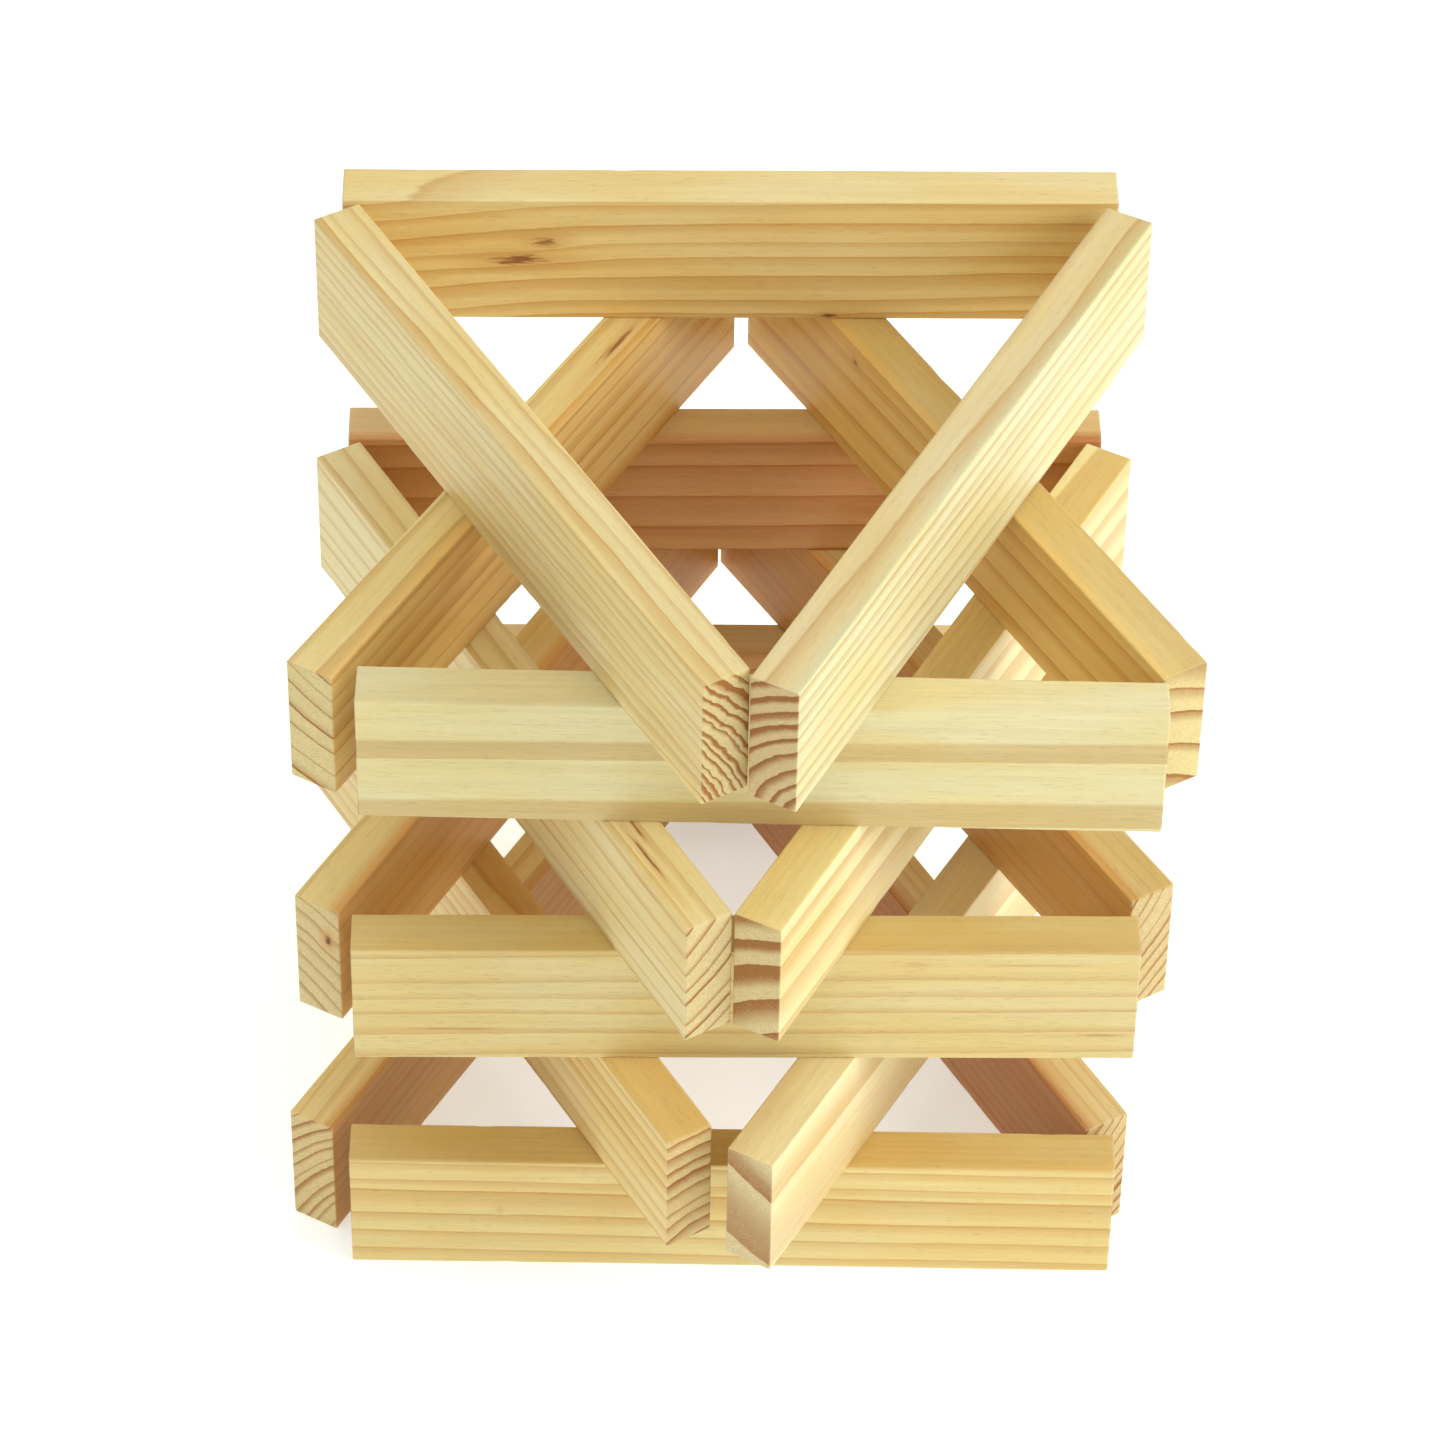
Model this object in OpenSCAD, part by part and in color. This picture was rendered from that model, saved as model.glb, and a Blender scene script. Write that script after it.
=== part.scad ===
// Wine rack made of pine battens laid on edge in a crossed stack.
// Every tier is an open triangle of three battens. The odd tiers have their straight
// batten at the back and a corner at the front, the even tiers the other way round, so
// that each tier crosses the next in six places and leaves bottle slots one batten high.
// A hidden dowel pins every crossing. Tier 1 is the top tier and tier 6 stands on the floor.
// Millimetres. +Z is up, +Y is towards the back, +X is to the right from the front.
// Origin: on the floor, in the middle of the footprint.

/* [Battens] */
// Length of every batten
batten_length = 408; // [380:4:480]
// Height of a batten on edge, which is also the clear height of a bottle slot
batten_height = 80; // [66:1:100]
// Thickness of a batten
batten_width = 27; // [22:1:34]
// Width of the flat planed off every edge
edge_ease = 1; // [0.4:0.1:2]

/* [Stack] */
// Distance in plan between the middle of an odd tier and the middle of an even tier
tier_shift = 42; // [30:1:60]
// Clearance between the ends of two battens that meet at a corner of a triangle
corner_gap = 0.5; // [0.3:0.1:4]
// How far the battens sit off their even places, from 0 (a perfectly even stack) to 1 (stacked by hand)
hand_stacked = 1; // [0:0.25:1]

/* [Dowels] */
// Diameter of a dowel
dowel_d = 10; // [8:0.5:12]
// Length of a dowel, half of it in each batten
dowel_length = 40; // [30:2:56]
// Difference between the diameters of a hole and its dowel, which the glue fills
glue_line = 0.2; // [0.1:0.05:0.4]
// Empty depth left past each end of a dowel
hole_spare = 1.5; // [0.5:0.5:3]
// Bevel at each end of a dowel
dowel_bevel = 1; // [0.5:0.25:2]

/* [Hidden] */

TIERS = 6;
BEAM = 0;   // the batten that lies straight across, at the back or at the front
LEFT = 1;   // the slanting batten on the left
RIGHT = 2;  // the slanting batten on the right

pine = [0.91, 0.80, 0.57];
pale_pine = [0.94, 0.85, 0.64];
beech = [0.80, 0.62, 0.42];

$fn = 48;

// How each batten of a hand-made stack sits off its even place: millimetres to the
// right, millimetres to the back and degrees of turn, for the beam, left and right.
OFF_PLACE = [
    [[ -1,  7,  0  ], [  7,  5, -0.5], [ -2,   2,  2  ]],
    [[ 13, 10, -1.5], [  3,  3, -0.5], [ 10,   5,  0  ]],
    [[ -2,  0,  0  ], [  2, -2, -1  ], [ -6,  -2,  1.5]],
    [[  7, -2,  0  ], [ -1, -2,  0.5], [  0,   5,  1  ]],
    [[  0,  0,  0  ], [ -8,  0, -0.5], [ -3, -17,  0  ]],
    [[  2, -5, -1  ], [ -7, -7,  0  ], [-10,  -6, -1  ]]
];

// Distance from the middle of a tier's triangle to the centre line of each of its
// battens, at which the inner corners of the ends meet.
reach = batten_length / (2 * sqrt(3)) + batten_width / 2 + corner_gap;

// +1 for an odd tier, whose beam is at the back, and -1 for an even tier.
function facing(tier) = tier % 2 == 1 ? 1 : -1;

// -1 on the left, 1 on the right.
function side(i) = i == LEFT ? -1 : 1;

// Middle and direction of a batten in an even stack: [x, y, degrees].
function even_place(tier, i) =
    i == BEAM
        ? [0, facing(tier) * (tier_shift / 2 + reach), 0]
        : [side(i) * reach * sqrt(3) / 2,
           facing(tier) * (tier_shift / 2 - reach / 2),
           90 - facing(tier) * side(i) * 30];

function loose_place(tier, i) = even_place(tier, i) + hand_stacked * OFF_PLACE[tier - 1][i];

// The outline of a batten in plan, with its four corners planed off.
function plan_outline(l, w, c) = [
    for (q = [[1, 1], [-1, 1], [-1, -1], [1, -1]])
        each (q.x * q.y > 0
            ? [[q.x * l / 2, q.y * (w / 2 - c)], [q.x * (l / 2 - c), q.y * w / 2]]
            : [[q.x * (l / 2 - c), q.y * w / 2], [q.x * l / 2, q.y * (w / 2 - c)]])
];

function turned(p, a) = [p.x * cos(a) - p.y * sin(a), p.x * sin(a) + p.y * cos(a)];

footprint = [
    for (tier = [1 : TIERS]) for (i = [BEAM, LEFT, RIGHT])
        let (p = loose_place(tier, i))
            for (q = plan_outline(batten_length, batten_width, edge_ease))
                turned(q, p[2]) + [p.x, p.y]
];
xs = [for (p = footprint) p.x];
ys = [for (p = footprint) p.y];
middle = [(min(xs) + max(xs)) / 2, (min(ys) + max(ys)) / 2];

// Middle and direction of a batten, with the footprint centred on the origin.
function place(tier, i) = loose_place(tier, i) - [middle.x, middle.y, 0];

function bottom_of(tier) = (TIERS - tier) * batten_height;

// Which batten of the upper tier rests on which batten of the tier below.
CROSSINGS = [[LEFT, LEFT], [RIGHT, RIGHT], [BEAM, LEFT], [BEAM, RIGHT], [LEFT, BEAM], [RIGHT, BEAM]];

// Point in plan where the centre lines of two battens cross.
function cross_point(p, q) =
    let (u = [cos(p[2]), sin(p[2])], v = [cos(q[2]), sin(q[2])],
         d = [q.x - p.x, q.y - p.y],
         t = (d.x * v.y - d.y * v.x) / (u.x * v.y - u.y * v.x))
    [p.x + t * u.x, p.y + t * u.y];

function crossing(upper_tier, c) =
    cross_point(place(upper_tier, c[0]), place(upper_tier + 1, c[1]));

// A planed batten: a bar whose twelve edges all have a narrow flat.
module eased_bar(l, w, h, c) {
    intersection() {
        linear_extrude(h) polygon(plan_outline(l, w, c));
        translate([0, w / 2 + 1, h / 2]) rotate([90, 0, 0])
            linear_extrude(w + 2) polygon(plan_outline(l, h, c));
        translate([-l / 2 - 1, 0, h / 2]) rotate([90, 0, 90])
            linear_extrude(l + 2) polygon(plan_outline(w, h, c));
    }
}

// A blind dowel hole that opens at height z, upwards or downwards.
module dowel_hole(at, z, up) {
    depth = dowel_length / 2 + hole_spare;
    translate([at.x, at.y, up ? z - depth : z - 1])
        cylinder(d = dowel_d + glue_line, h = depth + 1);
}

module batten(tier, i, tone) {
    p = place(tier, i);
    z = bottom_of(tier);
    color(tone) difference() {
        translate([p.x, p.y, z]) rotate(p[2])
            eased_bar(batten_length, batten_width, batten_height, edge_ease);
        if (tier > 1)
            for (c = CROSSINGS) if (c[1] == i)
                dowel_hole(crossing(tier - 1, c), z + batten_height, true);
        if (tier < TIERS)
            for (c = CROSSINGS) if (c[0] == i)
                dowel_hole(crossing(tier, c), z, false);
    }
}

// A plain round dowel with a bevel at each end, standing with its middle at the origin.
module dowel() {
    r = dowel_d / 2;
    h = dowel_length / 2;
    rotate_extrude() polygon([
        [0, -h], [r - dowel_bevel, -h], [r, -h + dowel_bevel],
        [r, h - dowel_bevel], [r - dowel_bevel, h], [0, h]
    ]);
}

// The six dowels between one tier and the next.
module dowels(upper_tier) {
    color(beech)
        for (c = CROSSINGS)
            let (at = crossing(upper_tier, c))
                translate([at.x, at.y, bottom_of(upper_tier)]) dowel();
}

module tier_1_back_batten() { batten(1, BEAM, pine); }
module tier_1_left_batten() { batten(1, LEFT, pine); }
module tier_1_right_batten() { batten(1, RIGHT, pale_pine); }
module tier_2_front_batten() { batten(2, BEAM, pale_pine); }
module tier_2_left_batten() { batten(2, LEFT, pine); }
module tier_2_right_batten() { batten(2, RIGHT, pine); }
module tier_3_back_batten() { batten(3, BEAM, pine); }
module tier_3_left_batten() { batten(3, LEFT, pine); }
module tier_3_right_batten() { batten(3, RIGHT, pale_pine); }
module tier_4_front_batten() { batten(4, BEAM, pale_pine); }
module tier_4_left_batten() { batten(4, LEFT, pine); }
module tier_4_right_batten() { batten(4, RIGHT, pine); }
module tier_5_back_batten() { batten(5, BEAM, pine); }
module tier_5_left_batten() { batten(5, LEFT, pine); }
module tier_5_right_batten() { batten(5, RIGHT, pale_pine); }
module tier_6_front_batten() { batten(6, BEAM, pine); }
module tier_6_left_batten() { batten(6, LEFT, pine); }
module tier_6_right_batten() { batten(6, RIGHT, pine); }
module dowels_tier_1_to_2() { dowels(1); }
module dowels_tier_2_to_3() { dowels(2); }
module dowels_tier_3_to_4() { dowels(3); }
module dowels_tier_4_to_5() { dowels(4); }
module dowels_tier_5_to_6() { dowels(5); }

tier_1_back_batten();
tier_1_left_batten();
tier_1_right_batten();
tier_2_front_batten();
tier_2_left_batten();
tier_2_right_batten();
tier_3_back_batten();
tier_3_left_batten();
tier_3_right_batten();
tier_4_front_batten();
tier_4_left_batten();
tier_4_right_batten();
tier_5_back_batten();
tier_5_left_batten();
tier_5_right_batten();
tier_6_front_batten();
tier_6_left_batten();
tier_6_right_batten();
dowels_tier_1_to_2();
dowels_tier_2_to_3();
dowels_tier_3_to_4();
dowels_tier_4_to_5();
dowels_tier_5_to_6();
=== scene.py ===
import math

import bmesh
import bpy
import numpy as np
from mathutils import Matrix, Vector


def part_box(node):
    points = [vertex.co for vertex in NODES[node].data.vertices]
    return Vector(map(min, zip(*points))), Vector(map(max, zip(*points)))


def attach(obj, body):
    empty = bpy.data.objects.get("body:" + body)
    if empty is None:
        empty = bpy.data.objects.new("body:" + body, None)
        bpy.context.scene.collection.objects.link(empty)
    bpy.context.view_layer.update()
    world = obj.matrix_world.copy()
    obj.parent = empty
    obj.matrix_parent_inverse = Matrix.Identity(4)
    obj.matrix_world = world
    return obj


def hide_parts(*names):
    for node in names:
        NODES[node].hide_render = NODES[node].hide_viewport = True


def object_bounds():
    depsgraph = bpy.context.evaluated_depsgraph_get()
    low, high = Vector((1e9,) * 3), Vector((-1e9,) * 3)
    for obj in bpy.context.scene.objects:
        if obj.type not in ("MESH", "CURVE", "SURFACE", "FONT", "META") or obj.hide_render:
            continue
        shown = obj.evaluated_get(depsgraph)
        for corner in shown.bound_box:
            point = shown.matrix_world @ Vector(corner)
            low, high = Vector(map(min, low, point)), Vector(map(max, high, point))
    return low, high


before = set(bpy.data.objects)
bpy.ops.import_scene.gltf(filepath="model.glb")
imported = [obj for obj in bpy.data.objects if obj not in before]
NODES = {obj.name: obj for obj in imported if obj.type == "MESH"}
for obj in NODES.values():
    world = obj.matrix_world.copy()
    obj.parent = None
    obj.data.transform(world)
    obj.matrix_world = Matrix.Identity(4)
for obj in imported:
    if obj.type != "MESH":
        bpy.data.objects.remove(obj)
cad_lo, cad_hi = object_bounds()

# ---------------------------------------------------------------- wood, batten by batten
# Everything here is in millimetres in the batten's own axes: x along it, y through its
# thickness, z up, with the origin in its middle.
#   pith     where the heart of the tree lies, as y, z
#   ring     width of a growth ring at the middle of the batten
#   late     share of a ring that is dark latewood, and how dark it shows on the long faces
#   drift    how far the heart moves in y and z from one end to the other
#   wave     how far the grain wanders
#   warm     0 is pale sapwood, 1 is deep orange heartwood
#   tint     how the colour of this batten differs from the next, as red, green, blue: partly its own colour, partly painted shade, darker and more orange for the battens that sit in shadow
#   cap      painted light and shade on the top: how much lighter or darker, warmer or cooler its top edge shows against the rest, as red, green, blue
#   deep     painted light and shade on one wide face: which face, and its colour there against the other side; darker and more orange on the face turned into the rack, where shade falls, and cooler and paler on the lit face of tier 1's right batten
#   widen    how fast the rings get wider outwards; uneven: how much their widths differ
#   ripple   small waves in the rings; bend: x from, x to, and how far the heart drops there
#   line     share of a crisp dark line at the outer edge of each ring
#   soft     how gently the latewood sets in; thin and ends: its sharpness and strength on the ends
#   marks    knots and resin streaks: x, y, z, half lengths in x, y, z, darkness, push on the rings
WOOD = {
    "tier_1_back_batten": dict(
        tint_and_shade=(1.04, 1.01, 0.8), top_light_and_shade=(0.9, 0.93, 1.0),
        pith=(-26, -150), ring=12.4, late=(0.38, 0.95), drift=(2, 4), wave=6, warm=0.34, seed=11, phase=0.10,
        bend=(-225, -80, -12), soft=0.7,
        marks=[(-112, -13.5, 0, 16, 4, 4.2, 0.70, 2.6), (-98, -13.5, 12, 8, 3, 3.4, 0.60, 1.6),
               (53, -13.5, -37.5, 5, 4, 1.6, 0.95, 1.2)]),
    "tier_1_left_batten": dict(
        tint_and_shade=(0.92, 0.9, 0.76), top_light_and_shade=(1, 0.98, 0.94),
        pith=(158, -105), ring=5.0, late=(0.46, 0.95), drift=(4.5, -3.5), wave=4, warm=0.14, seed=12, phase=0.3,
        widen=0.0105, ripple=2.0, ends=1.75),
    "tier_1_right_batten": dict(
        tint_and_shade=(0.87, 0.81, 0.71), top_light_and_shade=(1, 1, 0.98),
        pith=(-45, -58), ring=8.6, late=(0.38, 1.0), drift=(-6, -3), wave=4, warm=0.0, seed=13, phase=0.0,
        ripple=0.9, ends=1.6, deep=(-1, 0.97, 1.08, 1.16)),
    "tier_2_front_batten": dict(
        tint_and_shade=(0.87, 0.89, 0.8), top_light_and_shade=(1.04, 1.04, 1.08),
        pith=(40, 260), ring=40, late=(0.29, 0.58), drift=(0, 8.5), wave=2, warm=0.06, seed=21, phase=0.93, soft=0.12, widen=-0.004, line=0.0),
    "tier_2_left_batten": dict(
        tint_and_shade=(0.98, 1, 0.88), top_light_and_shade=(0.97, 0.96, 0.88),
        pith=(-58, 130), ring=12.4, late=(0.34, 0.90), drift=(3, 6), wave=4, warm=0.34, seed=22, phase=0.2,
        uneven=1.9, thin=3.4, deep=(-1, 1.08, 0.95, 0.77), ends=1.4,
        marks=[(92, -4, 40, 26, 2.2, 4, 0.68, 0.6)]),
    "tier_2_right_batten": dict(
        tint_and_shade=(0.97, 0.99, 0.84), top_light_and_shade=(0.95, 0.96, 0.9),
        pith=(70, -170), ring=19, late=(0.42, 1.0), drift=(4, -3), wave=5, warm=0.32, seed=23, phase=0.55,
        deep=(1, 1.10, 0.96, 0.75), ends=0.95,
        marks=[(93, 13.5, 29, 4, 3, 2.2, 0.6, 1.0)]),
    "tier_3_back_batten": dict(
        tint_and_shade=(0.97, 0.95, 0.86), top_light_and_shade=(0.92, 0.85, 0.8),
        pith=(-20, -200), ring=19, late=(0.40, 0.95), drift=(0, 5), wave=4, warm=0.34, seed=31, phase=0.0,
        deep=(-1, 0.92, 0.66, 0.60)),
    "tier_3_left_batten": dict(
        tint_and_shade=(0.93, 0.91, 0.79), top_light_and_shade=(1.08, 1.09, 1.08),
        pith=(108, 110), ring=9.2, late=(0.24, 1.0), drift=(4, -5), wave=4, warm=0.12, seed=32, phase=0.5,
        thin=1.2, ends=1.3,
        marks=[(-148, 5, 40, 20, 1.3, 3, 0.75, 0.5), (-128, 0, 40, 12, 1.0, 3, 0.6, 0.4),
               (-160, 13.5, 34, 18, 3, 1.0, 0.35, 0.3)]),
    "tier_3_right_batten": dict(
        tint_and_shade=(0.94, 0.92, 0.81), top_light_and_shade=(1.19, 1.20, 1.03),
        pith=(-57, -123), ring=21, late=(0.48, 0.74), drift=(0, -12), wave=6, warm=0.04, seed=33, phase=-0.03,
        ends=1.0, ripple=0.9, soft=0.55, line=0.15),
    "tier_4_front_batten": dict(
        tint_and_shade=(0.84, 0.83, 0.67), top_light_and_shade=(1.02, 0.96, 0.84),
        pith=(30, 190), ring=13.5, late=(0.22, 0.80), drift=(0, 4), wave=5, warm=0.26, seed=41, phase=0.25,
        marks=[(-150, -13.5, -18, 34, 2, 1.0, 0.40, 0.3), (186, -13.5, -22, 15, 2, 1.0, 0.45, 0.4),
               (88, -13.5, 30, 10, 3, 2.5, 0.16, 0.8), (150, -13.5, 30, 30, 2, 0.9, 0.30, 0.2)]),
    "tier_4_left_batten": dict(
        tint_and_shade=(0.95, 0.94, 0.85), top_light_and_shade=(1.06, 1.03, 0.85),
        pith=(83, -118), ring=9.4, late=(0.26, 0.60), drift=(0, 4), wave=5, warm=0.30, seed=42, phase=0.6,
        ends=0.72, deep=(-1, 0.97, 0.72, 0.53),
        marks=[(-204, -6.5, 16, 8, 2.6, 4.6, 1.0, 2.2)]),
    "tier_4_right_batten": dict(
        tint_and_shade=(0.9, 0.87, 0.76), top_light_and_shade=(0.92, 0.87, 0.74),
        pith=(155, 121), ring=7.2, late=(0.22, 0.60), drift=(5, 3), wave=5, warm=0.28, seed=43, phase=0.35,
        ends=1.05, deep=(1, 0.98, 0.73, 0.54)),
    "tier_5_back_batten": dict(
        tint_and_shade=(0.97, 0.95, 0.86),
        pith=(30, -160), ring=12, late=(0.30, 0.80), drift=(0, 5), wave=5, warm=0.34, seed=51, phase=0.4,
        deep=(-1, 0.97, 0.75, 0.64)),
    "tier_5_left_batten": dict(
        tint_and_shade=(0.95, 0.9, 0.73), top_light_and_shade=(0.98, 0.88, 0.7),
        pith=(-15, -70), ring=9.8, late=(0.38, 1.0), drift=(0, 5), wave=4, warm=0.26, seed=52, phase=0.75,
        ends=1.05, ripple=1.1, soft=0.9),
    "tier_5_right_batten": dict(
        tint_and_shade=(0.96, 0.96, 0.95), top_light_and_shade=(1.08, 1.06, 0.98),
        pith=(-90, 150), ring=38, late=(0.50, 0.66), drift=(3, -6), wave=4, warm=0.05, seed=53, phase=0.26,
        ends=0.62, ripple=1.0, soft=0.6, line=0.12),
    "tier_6_front_batten": dict(
        tint_and_shade=(0.9, 0.88, 0.7), top_light_and_shade=(0.95, 0.84, 0.67),
        pith=(-30, -210), ring=13.6, late=(0.44, 0.95), drift=(0, -5), wave=4, warm=0.26, seed=61, phase=0.2,
        soft=0.85, uneven=1.6, marks=[(-124, -13.5, 2, 2.5, 2, 5, 0.12, 0.5)]),
    "tier_6_left_batten": dict(
        tint_and_shade=(0.94, 0.9, 0.78), top_light_and_shade=(1.08, 1.06, 0.95),
        pith=(-103, -87), ring=6.2, late=(0.30, 0.70), drift=(3, 4), wave=4, warm=0.24, seed=62, phase=0.1,
        ends=1.0, deep=(-1, 0.78, 0.54, 0.34)),
    "tier_6_right_batten": dict(
        tint_and_shade=(0.92, 0.87, 0.76),
        pith=(100, 100), ring=6.6, late=(0.30, 0.75), drift=(4, 4), wave=5, warm=0.26, seed=63, phase=0.5,
        ends=1.1, deep=(1, 0.74, 0.45, 0.33)),
}


# ---------------------------------------------------------------- shader helpers
class Graph:
    """Short names for the maths nodes of one material."""

    def __init__(self, name):
        self.mat = bpy.data.materials.new(name)
        self.mat.use_nodes = True
        self.tree = self.mat.node_tree
        self.tree.nodes.clear()
        self.n = 0

    def node(self, kind, **settings):
        nd = self.tree.nodes.new(kind)
        nd.location = (190 * (self.n % 14), -190 * (self.n // 14))
        self.n += 1
        for k, v in settings.items():
            setattr(nd, k, v)
        return nd

    def put(self, value, socket):
        if isinstance(value, bpy.types.NodeSocket):
            self.tree.links.new(value, socket)
        else:
            socket.default_value = value

    def math(self, op, a, b=0.0, c=0.0):
        nd = self.node("ShaderNodeMath", operation=op)
        self.put(a, nd.inputs[0])
        self.put(b, nd.inputs[1])
        if len(nd.inputs) > 2:
            self.put(c, nd.inputs[2])
        return nd.outputs[0]

    def add(self, a, b): return self.math("ADD", a, b)
    def sub(self, a, b): return self.math("SUBTRACT", a, b)
    def mul(self, a, b): return self.math("MULTIPLY", a, b)
    def muladd(self, a, b, c): return self.math("MULTIPLY_ADD", a, b, c)

    def step(self, x, lo, hi, a=0.0, b=1.0):
        """Smooth step from a at lo to b at hi."""
        nd = self.node("ShaderNodeMapRange", interpolation_type="SMOOTHSTEP")
        for v, k in ((x, "Value"), (lo, "From Min"), (hi, "From Max"), (a, "To Min"), (b, "To Max")):
            self.put(v, nd.inputs[k])
        return nd.outputs["Result"]

    def vec(self, x, y, z):
        nd = self.node("ShaderNodeCombineXYZ")
        for v, s in zip((x, y, z), nd.inputs):
            self.put(v, s)
        return nd.outputs[0]

    def stretched(self, p, scale, offset):
        """p * scale + offset, component by component."""
        nd = self.node("ShaderNodeVectorMath", operation="MULTIPLY_ADD")
        self.put(p, nd.inputs[0])
        nd.inputs[1].default_value = scale
        nd.inputs[2].default_value = offset
        return nd.outputs[0]

    def noise(self, p, detail=2.0, rough=0.5, distortion=0.0):
        nd = self.node("ShaderNodeTexNoise", noise_dimensions="3D")
        self.put(p, nd.inputs["Vector"])
        nd.inputs["Scale"].default_value = 1.0
        nd.inputs["Detail"].default_value = detail
        nd.inputs["Roughness"].default_value = rough
        nd.inputs["Distortion"].default_value = distortion
        return nd

    def mix(self, f, a, b, blend="MIX"):
        nd = self.node("ShaderNodeMix", data_type="RGBA", blend_type=blend)
        self.put(f, nd.inputs[0])
        self.put(a if isinstance(a, bpy.types.NodeSocket) else (*a, 1.0), nd.inputs[6])
        self.put(b if isinstance(b, bpy.types.NodeSocket) else (*b, 1.0), nd.inputs[7])
        return nd.outputs[2]

    def bump(self, height, distance, strength, normal=None):
        nd = self.node("ShaderNodeBump")
        nd.inputs["Strength"].default_value = strength
        nd.inputs["Distance"].default_value = distance
        self.put(height, nd.inputs["Height"])
        if normal is not None:
            self.put(normal, nd.inputs["Normal"])
        return nd.outputs[0]


def blend3(a, b, f):
    return tuple(x + (y - x) * f for x, y in zip(a, b))


def pine(name, half, pith, ring, late, drift, wave, warm, seed, phase, marks=(), widen=0.0, soft=0.75,
         ends=1.0, uneven=1.05, ripple=0.4, bend=None, deep=None, thin=1.0, line=0.38, tint_and_shade=(1, 1, 1), top_light_and_shade=None):
    """Solid pine: growth rings about the heart line, so that the streaks on the long faces
    and the arcs on the ends belong to the same tree."""
    g = Graph(name)
    hx = half[0]
    co = g.node("ShaderNodeAttribute", attribute_name="grain").outputs["Vector"]
    mm = g.stretched(co, (1000, 1000, 1000), (0, 0, 0))
    sep = g.node("ShaderNodeSeparateXYZ")
    g.put(mm, sep.inputs[0])
    x, y, z = sep.outputs
    s = seed * 7.31

    # the heart line wanders slowly, and the fibres with it
    warp = g.noise(g.stretched(mm, (1 / 170, 1 / 48, 1 / 48), (s, s * 1.7, -s)), detail=1.0, rough=0.4)
    wsep = g.node("ShaderNodeSeparateColor")
    g.put(warp.outputs["Color"], wsep.inputs[0])
    curl = g.noise(g.stretched(mm, (1 / 30, 1 / 3.0, 1 / 3.0), (-s, s, s * 2.3)), detail=2.0, rough=0.55).outputs["Fac"]
    wy = g.muladd(g.sub(wsep.outputs[0], 0.5), wave, g.muladd(x, -drift[0] / (2 * hx), -pith[0]))
    wz = g.muladd(g.sub(wsep.outputs[1], 0.5), wave, g.muladd(x, -drift[1] / (2 * hx), -pith[1]))
    if bend:
        wz = g.sub(wz, g.step(x, bend[0], bend[1], bend[2], 0.0))
    ry = g.add(y, wy)
    rz = g.add(z, wz)
    r = g.math("SQRT", g.add(g.mul(ry, ry), g.mul(rz, rz)))
    r = g.muladd(g.sub(curl, 0.5), 0.8, r)
    waves = g.noise(g.stretched(mm, (1 / 70, 1 / 8.0, 1 / 8.0), (s * 0.7, -s, s)), detail=1.0, rough=0.5).outputs["Fac"]
    r = g.muladd(g.sub(waves, 0.5), 2 * ripple, r)

    # marks: distance to each, as 1 at its rim
    dark = None
    halo = None
    for mx, my, mz, ax, ay, az, strength, push in marks:
        d = g.node("ShaderNodeVectorMath", operation="MULTIPLY_ADD")
        g.put(mm, d.inputs[0])
        d.inputs[1].default_value = (1 / ax, 1 / ay, 1 / az)
        d.inputs[2].default_value = (-mx / ax, -my / ay, -mz / az)
        ln = g.node("ShaderNodeVectorMath", operation="LENGTH")
        g.put(d.outputs[0], ln.inputs[0])
        rag = g.noise(g.stretched(mm, (1 / (ax * 0.75), 1 / (ay * 0.4), 1 / (az * 0.24)), (s + mx, s, s)), detail=3.5, rough=0.65).outputs["Fac"]
        dist = g.muladd(g.sub(rag, 0.5), 2.6, ln.outputs["Value"])
        core = g.step(dist, 1.05, 0.25, 0.0, strength)
        ring_push = g.step(ln.outputs["Value"], 4.0, 0.4, 0.0, push)
        glow = g.step(ln.outputs["Value"], 3.2, 0.6, 0.0, strength * 0.55)
        r = g.add(r, ring_push)
        dark = core if dark is None else g.math("MAXIMUM", dark, core)
        halo = glow if halo is None else g.math("MAXIMUM", halo, glow)

    # ring number, with rings of uneven width
    rc = math.hypot(*pith)
    q = g.sub(r, rc)
    if widen:
        # rings that get wider outwards: the width is ring * (1 + widen * q)
        q = g.mul(g.math("LOGARITHM", g.math("MAXIMUM", g.muladd(q, widen, 1.0), 0.05), math.e), 1 / widen)
    n0 = g.muladd(q, 1 / ring, phase + 40)
    shift = g.noise(g.vec(g.mul(n0, 0.73), s, 3.3), detail=1.0).outputs["Fac"]
    n1 = g.muladd(g.sub(shift, 0.5), uneven, n0)
    idx = g.math("FLOOR", n1)
    t = g.math("FRACT", n1)
    wn = g.node("ShaderNodeTexWhiteNoise", noise_dimensions="1D")
    g.put(g.add(idx, s), wn.inputs["W"])
    w1 = wn.outputs["Value"]
    wn2 = g.node("ShaderNodeTexWhiteNoise", noise_dimensions="1D")
    g.put(g.add(idx, s + 53.7), wn2.inputs["W"])
    w2 = wn2.outputs["Value"]

    # latewood darkens gently outwards, then stops short at the next spring
    share = g.muladd(w1, late[0] * 0.7, late[0] * 0.65)
    rise = g.step(t, g.muladd(share, -1.0 - soft, 1.0), g.muladd(share, -1.0 + 0.95 * soft, 1.0))
    edge = g.step(t, 1.0, 1.0 - min(0.14, 0.7 / ring))
    if line:
        crisp = g.step(t, g.muladd(share, -0.42, 1.0), g.muladd(share, -0.12, 1.0), 0.0, line)
        rise = g.muladd(rise, 1.0 - line, crisp)
    grow = g.mul(g.mul(rise, edge), g.muladd(w2, 0.45, 0.66))

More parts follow.
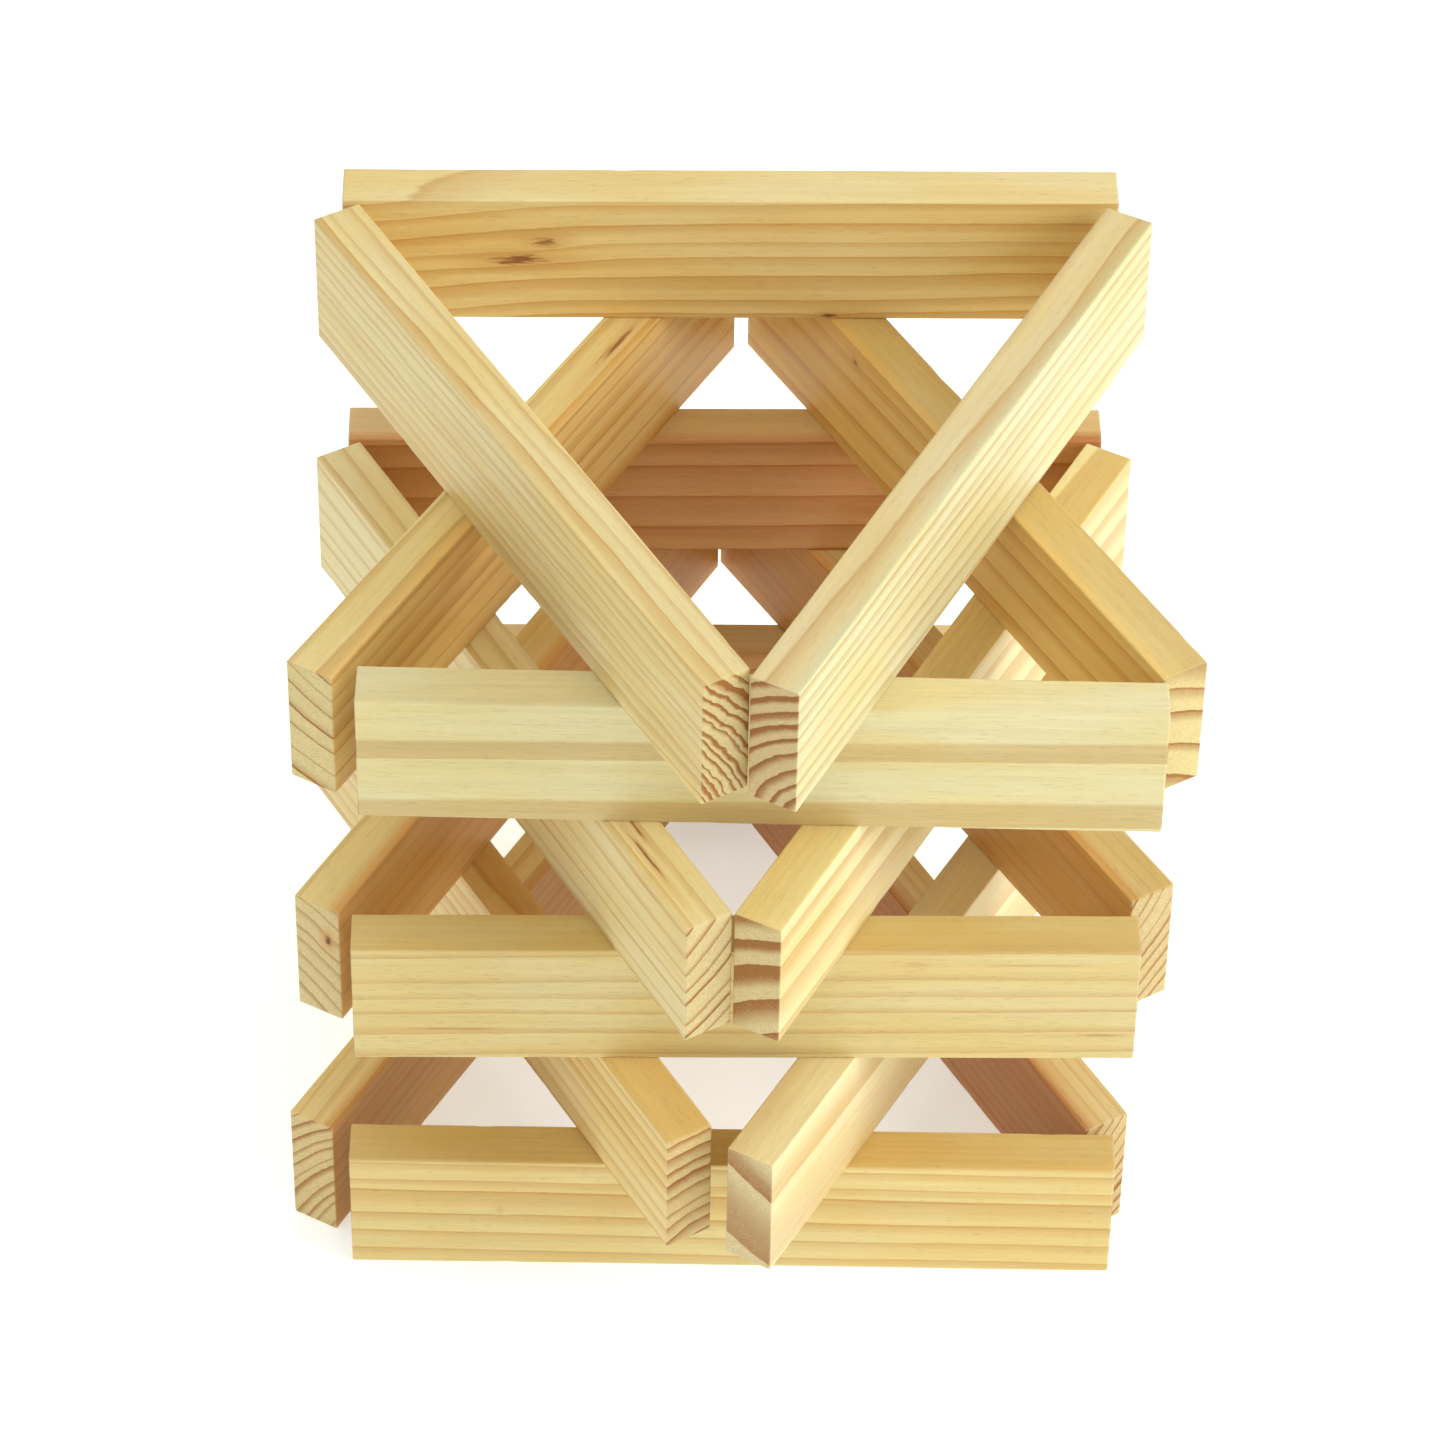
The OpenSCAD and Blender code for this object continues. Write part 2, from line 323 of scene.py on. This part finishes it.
    # fibres and resin canals run along the batten
    fibre = g.noise(g.stretched(mm, (1 / 34, 1 / 0.75, 1 / 0.75), (s, 2 * s, 0)), detail=2.5, rough=0.6).outputs["Fac"]
    silk = g.noise(g.stretched(mm, (1 / 120, 1 / 3.2, 1 / 3.2), (0, s, 3 * s)), detail=2.0, rough=0.5).outputs["Fac"]
    canal = g.noise(g.stretched(mm, (1 / 7.5, 1 / 0.42, 1 / 0.42), (s, -s, s)), detail=0.0).outputs["Fac"]
    canals = g.step(canal, 0.70, 0.80)
    cloud = g.noise(g.stretched(mm, (1 / 110, 1 / 30, 1 / 30), (2 * s, s, s)), detail=2.0, rough=0.5).outputs["Fac"]

    # the sawn ends
    ax = g.math("ABSOLUTE", x)
    end = g.step(ax, hx - 0.75, hx - 0.25)
    pores = g.noise(g.stretched(mm, (1 / 6, 1 / 0.95, 1 / 0.95), (-s, s, 0)), detail=2.5, rough=0.75).outputs["Fac"]

    # the colours are scaled by the batten's tint: its own colour, together with painted shade for the battens in shadow
    def tone3(cold, hot):
        return tuple(v * k for v, k in zip(blend3(cold, hot, warm), tint_and_shade))

    pale = tone3((0.855, 0.765, 0.475), (0.840, 0.560, 0.225))
    honey = tone3((0.850, 0.715, 0.375), (0.810, 0.480, 0.150))
    latew = tone3((0.620, 0.395, 0.135), (0.620, 0.250, 0.042))
    late_end = tone3((0.370, 0.155, 0.033), (0.350, 0.135, 0.028))
    early_end = tone3((0.765, 0.645, 0.360), (0.750, 0.580, 0.285))

    early = g.mix(g.step(cloud, 0.34, 0.66), pale, honey)
    early_e = g.mix(g.step(pores, 0.40, 0.66, 0.0, 0.62), early_end, blend3(early_end, late_end, 0.45))
    fib = g.step(fibre, 0.25, 0.75, 0.72, 1.18)
    band = g.math("MINIMUM", g.mul(g.mul(grow, fib), late[1]), 1.0)
    grow_e = g.math("POWER", grow, thin) if thin != 1.0 else grow
    band_e = g.math("MINIMUM", g.mul(g.mul(grow_e, g.step(pores, 0.3, 0.75, 1.30, 0.75)), 1.25 * ends), 1.0)
    long_face = g.mix(band, early, latew)
    end_face = g.mix(band_e, early_e, late_end)
    col = g.mix(end, long_face, end_face)
    # soft fibre tone, canals and marks
    tone = g.step(fibre, 0.2, 0.8, 0.955, 1.03)
    tone = g.mul(tone, g.step(silk, 0.25, 0.75, 0.955, 1.03))
    tone = g.mul(tone, g.muladd(canals, g.muladd(end, 0.10, -0.16), 1.0))
    tinted = g.node("ShaderNodeVectorMath", operation="SCALE")
    g.put(col, tinted.inputs[0])
    g.put(tone, tinted.inputs[3])
    col = tinted.outputs[0]
    # painted light and shade on the top: the top band is made lighter or darker, warmer or cooler, to stand in for the
    # light that falls there
    if top_light_and_shade:
        top = g.step(z, half[2] - 2.5, half[2] - 0.4)
        col = g.mix(1.0, col, g.mix(top, (1.0, 1.0, 1.0), top_light_and_shade), blend="MULTIPLY")
    if deep:
        # painted shade: the wide face turned into the rack is made darker and more orange, as that face looks in shade;
        # on tier 1's right batten the lit face is made cooler and paler instead
        side = g.mul(g.step(g.mul(y, float(deep[0])), 4.0, 13.4), g.sub(1.0, end))
        side_shade = g.mix(side, (1.0, 1.0, 1.0), deep[1:])
        col = g.mix(1.0, col, side_shade, blend="MULTIPLY")
    if dark is not None:
        col = g.mix(halo, col, (0.62, 0.33, 0.095))
        col = g.mix(g.math("MINIMUM", g.mul(dark, 1.5), 1.0), col, (0.400, 0.175, 0.050))
        col = g.mix(g.step(dark, 0.45, 1.0, 0.0, 0.9), col, (0.160, 0.062, 0.024))
    # painted highlight: a touch paler where the corner is eased
    bev = g.node("ShaderNodeNewGeometry")
    edge_highlight = g.step(bev.outputs["Pointiness"], 0.505, 0.56, 0.0, 0.30)
    col = g.mix(edge_highlight, col, blend3(pale, (0.95, 0.86, 0.62), 0.6))

    rough = g.muladd(g.sub(fibre, 0.5), 0.16, g.muladd(band, -0.10, g.muladd(end, 0.22, 0.50)))
    if dark is not None:
        rough = g.muladd(dark, -0.12, rough)

    # planed faces: fine fibre relief and faint ring relief; ends: saw lines and open pores
    relief = g.add(g.muladd(fibre, 0.55, g.mul(grow, 0.55)), g.mul(canals, -0.5))
    saw = g.noise(g.stretched(mm, (1 / 3, 1 / 9.0, 1 / 0.7), (s, 0, s)), detail=1.5, rough=0.6).outputs["Fac"]
    relief_end = g.add(g.muladd(pores, 1.6, g.mul(band_e, 1.1)), g.mul(saw, 1.2))
    mixh = g.node("ShaderNodeMix", data_type="FLOAT")
    g.put(end, mixh.inputs[0])
    g.put(relief, mixh.inputs[2])
    g.put(relief_end, mixh.inputs[3])
    nrm = g.bump(mixh.outputs[0], 0.00016, 0.75)

    bsdf = g.node("ShaderNodeBsdfPrincipled")
    bsdf.inputs["Specular IOR Level"].default_value = 0.32
    bsdf.inputs["Subsurface Weight"].default_value = 0.0
    g.put(col, bsdf.inputs["Base Color"])
    g.put(rough, bsdf.inputs["Roughness"])
    g.put(nrm, bsdf.inputs["Normal"])
    out = g.node("ShaderNodeOutputMaterial")
    g.tree.links.new(bsdf.outputs[0], out.inputs[0])
    return g.mat


def beech(name):
    """Turned beech for the dowels: short dark ray flecks and straight grain along z."""
    g = Graph(name)
    co = g.node("ShaderNodeTexCoord").outputs["Object"]
    mm = g.stretched(co, (1000, 1000, 1000), (0, 0, 0))
    grain = g.noise(g.stretched(mm, (1 / 1.1, 1 / 1.1, 1 / 22), (3, 5, 7)), detail=3.0, rough=0.6).outputs["Fac"]
    fleck = g.noise(g.stretched(mm, (1 / 0.35, 1 / 0.35, 1 / 1.8), (13, 5, 1)), detail=0.0).outputs["Fac"]
    flecks = g.step(fleck, 0.62, 0.72)
    col = g.mix(g.step(grain, 0.3, 0.7), (0.66, 0.42, 0.22), (0.55, 0.32, 0.15))
    col = g.mix(g.mul(flecks, 0.5), col, (0.34, 0.17, 0.075))
    nrm = g.bump(g.muladd(grain, 0.7, g.mul(flecks, -0.6)), 0.0001, 0.6)
    bsdf = g.node("ShaderNodeBsdfPrincipled")
    bsdf.inputs["Specular IOR Level"].default_value = 0.35
    g.put(col, bsdf.inputs["Base Color"])
    g.put(g.muladd(grain, 0.15, 0.45), bsdf.inputs["Roughness"])
    g.put(nrm, bsdf.inputs["Normal"])
    out = g.node("ShaderNodeOutputMaterial")
    g.tree.links.new(bsdf.outputs[0], out.inputs[0])
    return g.mat


# ---------------------------------------------------------------- where the CAD has each piece
def placement(node):
    """Middle, angle and half sizes of a batten, measured on its CAD node."""
    me = NODES[node].data
    lo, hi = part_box(node)
    best = {}
    for p in me.polygons:
        if abs(p.normal.z) < 0.05:
            a = round(math.degrees(math.atan2(p.normal.y, p.normal.x)) % 180.0, 1)
            best[a] = best.get(a, 0.0) + p.area
    a = max(best, key=best.get)
    near = [p for p in me.polygons if abs(p.normal.z) < 0.05 and abs((math.degrees(math.atan2(p.normal.y, p.normal.x)) - a + 90) % 180 - 90) < 0.2]
    nv = Vector((0, 0, 0))
    for p in near:
        nn = p.normal if math.cos(math.atan2(p.normal.y, p.normal.x) - math.radians(a)) > 0 else -p.normal
        nv += nn * p.area
    ang = math.degrees(math.atan2(nv.y, nv.x)) - 90.0
    while ang <= -40:
        ang += 180
    while ang > 140:
        ang -= 180
    mid = (lo + hi) / 2
    co = np.array([v.co for v in me.vertices], float)
    c, s = math.cos(math.radians(ang)), math.sin(math.radians(ang))
    lx = (co[:, 0] - mid.x) * c + (co[:, 1] - mid.y) * s
    ly = -(co[:, 0] - mid.x) * s + (co[:, 1] - mid.y) * c
    lz = co[:, 2] - mid.z
    half = tuple(float(np.abs(v).max()) for v in (lx, ly, lz))
    return mid, ang, half


def dowel_places(node):
    """Middles of the separate dowels in one CAD node, with their radius and half length."""
    co = np.array([v.co for v in NODES[node].data.vertices], float)
    groups = []
    for p in co:
        for q in groups:
            if np.hypot(*(p[:2] - np.mean(q, 0)[:2])) < 0.012:
                q.append(p)
                break
        else:
            groups.append([p])
    out = []
    for q in groups:
        q = np.array(q)
        c = (q.min(0) + q.max(0)) / 2
        out.append((Vector(c), float((q[:, 0].max() - q[:, 0].min()) / 2), float((q[:, 2].max() - q[:, 2].min()) / 2)))
    return out


# ---------------------------------------------------------------- batten meshes
def stops(half, ease, pitch):
    """Cuts across one face: fine over the eased corner, then even."""
    e = [0.0, 0.22, 0.55, 1.0]
    a = [-half + ease * k for k in e] + [-half + ease + 0.0006]
    inner = a[-1]
    n = max(2, int(round(-2 * inner / pitch)))
    mid = [inner + (-2 * inner) * i / n for i in range(1, n)]
    return np.array(a + mid + [-v for v in reversed(a)])


def batten_mesh(name, half, seed):
    """A planed batten with softly rounded corners that vary along it, small knocks on its
    edges, and crisp sawn ends."""
    rng = np.random.default_rng(seed)
    ex, ey, ez = 0.0008, 0.0011, 0.0011
    X = stops(half[0], ex, 0.0045)
    Y = stops(half[1], ey, 0.0034)
    Z = stops(half[2], ez, 0.0045)
    index = {}
    verts = []
    faces = []

    def vid(i, j, k):
        key = (i, j, k)
        if key not in index:
            index[key] = len(verts)
            verts.append((X[i], Y[j], Z[k]))
        return index[key]

    nx, ny, nz = len(X) - 1, len(Y) - 1, len(Z) - 1
    for i in range(nx):
        for j in range(ny):
            faces.append((vid(i, j, 0), vid(i, j + 1, 0), vid(i + 1, j + 1, 0), vid(i + 1, j, 0)))
            faces.append((vid(i, j, nz), vid(i + 1, j, nz), vid(i + 1, j + 1, nz), vid(i, j + 1, nz)))
        for k in range(nz):
            faces.append((vid(i, 0, k), vid(i + 1, 0, k), vid(i + 1, 0, k + 1), vid(i, 0, k + 1)))
            faces.append((vid(i, ny, k), vid(i, ny, k + 1), vid(i + 1, ny, k + 1), vid(i + 1, ny, k)))
    for j in range(ny):
        for k in range(nz):
            faces.append((vid(0, j, k), vid(0, j, k + 1), vid(0, j + 1, k + 1), vid(0, j + 1, k)))
            faces.append((vid(nx, j, k), vid(nx, j + 1, k), vid(nx, j + 1, k + 1), vid(nx, j, k + 1)))
    P = np.array(verts, float)

    # ease of each long corner changes slowly along the batten
    ph = rng.uniform(0, 2 * np.pi, (4, 3))
    corner = (P[:, 1] > 0).astype(int) * 2 + (P[:, 2] > 0).astype(int)
    u = P[:, 0] / half[0]
    soft = 0.16 * np.sin(3.1 * u + ph[corner, 0]) + 0.10 * np.sin(9.7 * u + ph[corner, 1]) + 0.06 * np.sin(23.0 * u + ph[corner, 2])
    soft = 1.0 + soft * np.clip((1 - np.abs(u)) * 12, 0, 1)
    e = np.stack([np.full(len(P), ex), ey * soft, ez * soft], 1)
    h = np.array(half)
    # the cuts were laid out for the plain ease: stretch them over the local one
    plain = np.array([ex, ey, ez])
    gap = h - np.abs(P)
    gap = np.where(gap < plain, gap * e / plain, gap + (e - plain) * np.clip(1 - (gap - plain) / 0.004, 0, 1))
    P = np.sign(P) * (h - gap)
    inner = np.clip(P, -(h - e), h - e)
    d = (P - inner) / e
    ln = np.linalg.norm(d, axis=1)
    ln[ln == 0] = 1
    P = inner + e * d / ln[:, None]

    # a few knocks on the corners, always inwards
    for _ in range(7):
        cx = rng.uniform(-0.95, 0.95) * half[0]
        cy = rng.choice([-1, 1]) * half[1]
        cz = rng.choice([-1, 1]) * half[2]
        rad = rng.uniform(0.003, 0.006)
        deep = rng.uniform(0.0001, 0.0003)
        dd = ((P[:, 0] - cx) / rad) ** 2 + ((P[:, 1] - cy) / (0.0035)) ** 2 + ((P[:, 2] - cz) / (0.0035)) ** 2
        w = np.exp(-dd)[:, None]
        P -= w * deep * np.array([0, np.sign(cy), np.sign(cz)])
    # a round corner reaches past the chamfered one: draw the ends and wide faces in a hair
    P[:, 0] *= 1 - 0.00021 / half[0]
    P[:, 1] *= 1 - 0.00011 / half[1]
    me = bpy.data.meshes.new(name)
    me.from_pydata([tuple(p) for p in P], [], faces)
    me.validate()
    me.update()
    return me


def cutter(holes, inv):
    """One mesh with every dowel hole of a batten, in the batten's own axes."""
    bm = bmesh.new()
    for c, r, z0, z1 in holes:
        m = Matrix.Translation(inv @ Vector((c[0], c[1], (z0 + z1) / 2)))
        bmesh.ops.create_cone(bm, cap_ends=True, segments=40, radius1=r, radius2=r, depth=z1 - z0, matrix=m)
    me = bpy.data.meshes.new("cutter")
    bm.to_mesh(me)
    bm.free()
    return me


DOWELS = {n: dowel_places(n) for n in NODES if n.startswith("dowels_")}


def make_batten(node):
    mid, ang, half = placement(node)
    tier = int(node.split("_")[1])
    spec = dict(WOOD[node])
    me = batten_mesh(node + "_wood", half, spec["seed"])
    ob = bpy.data.objects.new(node + "_wood", me)
    bpy.context.scene.collection.objects.link(ob)
    ob.location = mid
    ob.rotation_euler = (0, 0, math.radians(ang))
    bpy.context.view_layer.update()
    # blind holes for the dowels above and below
    inv = ob.matrix_world.inverted()
    holes = []
    for dn, places in DOWELS.items():
        up, low = int(dn.split("_")[2]), int(dn.split("_")[4])
        if tier not in (up, low):
            continue
        for c, r, hh in places:
            l = inv @ c
            if abs(l.x) < half[0] and abs(l.y) < half[1]:
                deep = hh + 0.0015
                face = c.z
                if tier == low:
                    holes.append(((c.x, c.y), r + 0.0001, face - deep, face + 0.004))
                else:
                    holes.append(((c.x, c.y), r + 0.0001, face - 0.004, face + deep))
    if holes:
        cm = cutter(holes, inv)
        co = bpy.data.objects.new("cut", cm)
        bpy.context.scene.collection.objects.link(co)
        co.matrix_world = ob.matrix_world
        md = ob.modifiers.new("holes", "BOOLEAN")
        md.operation, md.solver, md.object = "DIFFERENCE", "EXACT", co
        bpy.context.view_layer.update()
        dg = bpy.context.evaluated_depsgraph_get()
        cut = bpy.data.meshes.new_from_object(ob.evaluated_get(dg))
        ob.modifiers.clear()
        old = ob.data
        ob.data = cut
        cut.name = node + "_wood"
        bpy.data.meshes.remove(old)
        bpy.data.objects.remove(co)
        bpy.data.meshes.remove(cm)
    me = ob.data
    me.materials.clear()
    me.materials.append(pine("pine_" + node, tuple(1000 * v for v in half), **spec))
    bm = bmesh.new()
    bm.from_mesh(me)
    bmesh.ops.remove_doubles(bm, verts=bm.verts, dist=1e-6)
    for f in bm.faces:
        f.smooth = True
    for ed in bm.edges:
        if len(ed.link_faces) == 2 and ed.calc_face_angle(0) > math.radians(48):
            ed.smooth = False
    bm.to_mesh(me)
    bm.free()
    # the batten's own axes are kept on the mesh for the grain, then it goes to its place
    own = me.attributes.new("grain", "FLOAT_VECTOR", "POINT")
    own.data.foreach_set("vector", np.array([v.co for v in me.vertices], np.float32).ravel())
    me.transform(ob.matrix_world)
    me.update()
    ob.matrix_world = Matrix.Identity(4)
    bpy.context.view_layer.update()
    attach(ob, "root")
    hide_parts(node)
    return ob


def make_dowels(node, mat):
    """Fluted dowels with bevelled ends, one object for the six at a level."""
    bm = bmesh.new()
    flutes, per = 14, 4
    for c, r, hh in DOWELS[node]:
        rings = []
        levels = [(-hh, r - 0.001), (-hh + 0.0004, r - 0.0006), (-hh + 0.001, r), (-hh + 0.0013, r)]
        levels += [(-hh + 0.0013 + (2 * hh - 0.0026) * i / 8, r) for i in range(1, 8)]
        levels += [(-z, q) for z, q in reversed(levels[:4])]
        for z, q in levels:
            ring = []
            for i in range(flutes * per):
                a = 2 * math.pi * i / (flutes * per)
                groove = 0.00035 * max(0.0, math.cos(flutes * a)) ** 2
                rr = min(q, r - groove)
                ring.append(bm.verts.new((c.x + rr * math.cos(a), c.y + rr * math.sin(a), c.z + z)))
            rings.append(ring)
        m = flutes * per
        for a, b in zip(rings, rings[1:]):
            for i in range(m):
                bm.faces.new((a[i], a[(i + 1) % m], b[(i + 1) % m], b[i]))
        bm.faces.new(list(reversed(rings[0])))
        bm.faces.new(rings[-1])
    me = bpy.data.meshes.new(node + "_turned")
    bm.to_mesh(me)
    bm.free()
    for p in me.polygons:
        p.use_smooth = len(p.vertices) == 4
    me.materials.append(mat)
    ob = bpy.data.objects.new(node + "_turned", me)
    bpy.context.scene.collection.objects.link(ob)
    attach(ob, "root")
    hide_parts(node)
    return ob


for node in sorted(n for n in NODES if n.startswith("tier_")):
    make_batten(node)
dowel_wood = beech("beech_dowel")
for node in sorted(DOWELS):
    make_dowels(node, dowel_wood)

# ---------------------------------------------------------------- floor, light and camera
scene = bpy.context.scene


def floor():
    bm = bmesh.new()
    bmesh.ops.create_grid(bm, x_segments=8, y_segments=8, size=6.0)
    me = bpy.data.meshes.new("studio_floor")
    bm.to_mesh(me)
    bm.free()
    g = Graph("studio_floor")
    bsdf = g.node("ShaderNodeBsdfPrincipled")
    bsdf.inputs["Base Color"].default_value = (0.96, 0.96, 0.96, 1)
    bsdf.inputs["Emission Color"].default_value = (0.90, 1.0, 1.0, 1)
    bsdf.inputs["Emission Strength"].default_value = 0.40
    bsdf.inputs["Roughness"].default_value = 0.9
    bsdf.inputs["Specular IOR Level"].default_value = 0.1
    out = g.node("ShaderNodeOutputMaterial")
    g.tree.links.new(bsdf.outputs[0], out.inputs[0])
    me.materials.append(g.mat)
    ob = bpy.data.objects.new("studio_floor", me)
    scene.collection.objects.link(ob)
    ob.location = (0, 0, cad_lo.z - 0.0002)


floor()

world = bpy.data.worlds.new("studio")
world.use_nodes = True
bg = world.node_tree.nodes["Background"]
bg.inputs["Color"].default_value = (1.0, 0.99, 0.97, 1)
bg.inputs["Strength"].default_value = 0.745
scene.world = world


def area(name, at, target, size, power, colour=(1, 1, 1)):
    li = bpy.data.lights.new(name, "AREA")
    li.shape = "RECTANGLE"
    li.size, li.size_y = size
    li.energy = power
    li.color = colour
    ob = bpy.data.objects.new(name, li)
    ob.location = at
    ob.rotation_euler = (Vector(target) - Vector(at)).to_track_quat("-Z", "Y").to_euler()
    scene.collection.objects.link(ob)


area("key_right", (2.6, -0.9, 1.6), (0, 0, 0.25), (1.6, 1.6), 45)
area("top_soft", (0.0, 0.1, 3.2), (0, 0, 0.2), (1.4, 1.4), 13)

# the camera looks down at the front of the rack through a long lens
lo, hi = cad_lo, cad_hi
cam_data = bpy.data.cameras.new("camera")
cam_data.sensor_fit = "HORIZONTAL"
cam_data.sensor_width = 36.0
cam_data.lens = 160.2
cam_data.clip_start, cam_data.clip_end = 0.05, 60
cam = bpy.data.objects.new("camera", cam_data)
scene.collection.objects.link(cam)
yaw, pitch, roll = (math.radians(v) for v in (-1.17, 43.70, 0.97))
fwd = Vector((-math.sin(yaw) * math.cos(pitch), math.cos(yaw) * math.cos(pitch), -math.sin(pitch)))
right0 = Vector((math.cos(yaw), math.sin(yaw), 0))
up0 = right0.cross(fwd)
right = right0 * math.cos(roll) + up0 * math.sin(roll)
up = up0 * math.cos(roll) - right0 * math.sin(roll)
basis = Matrix((right, up, -fwd)).transposed()
cam.matrix_world = Matrix.Translation((-0.0571, -2.4633, 2.6043)) @ basis.to_4x4()
scene.camera = cam

scene.view_settings.view_transform = "Standard"
scene.view_settings.look = "None"
scene.view_settings.exposure = 0.0
scene.view_settings.gamma = 1.0
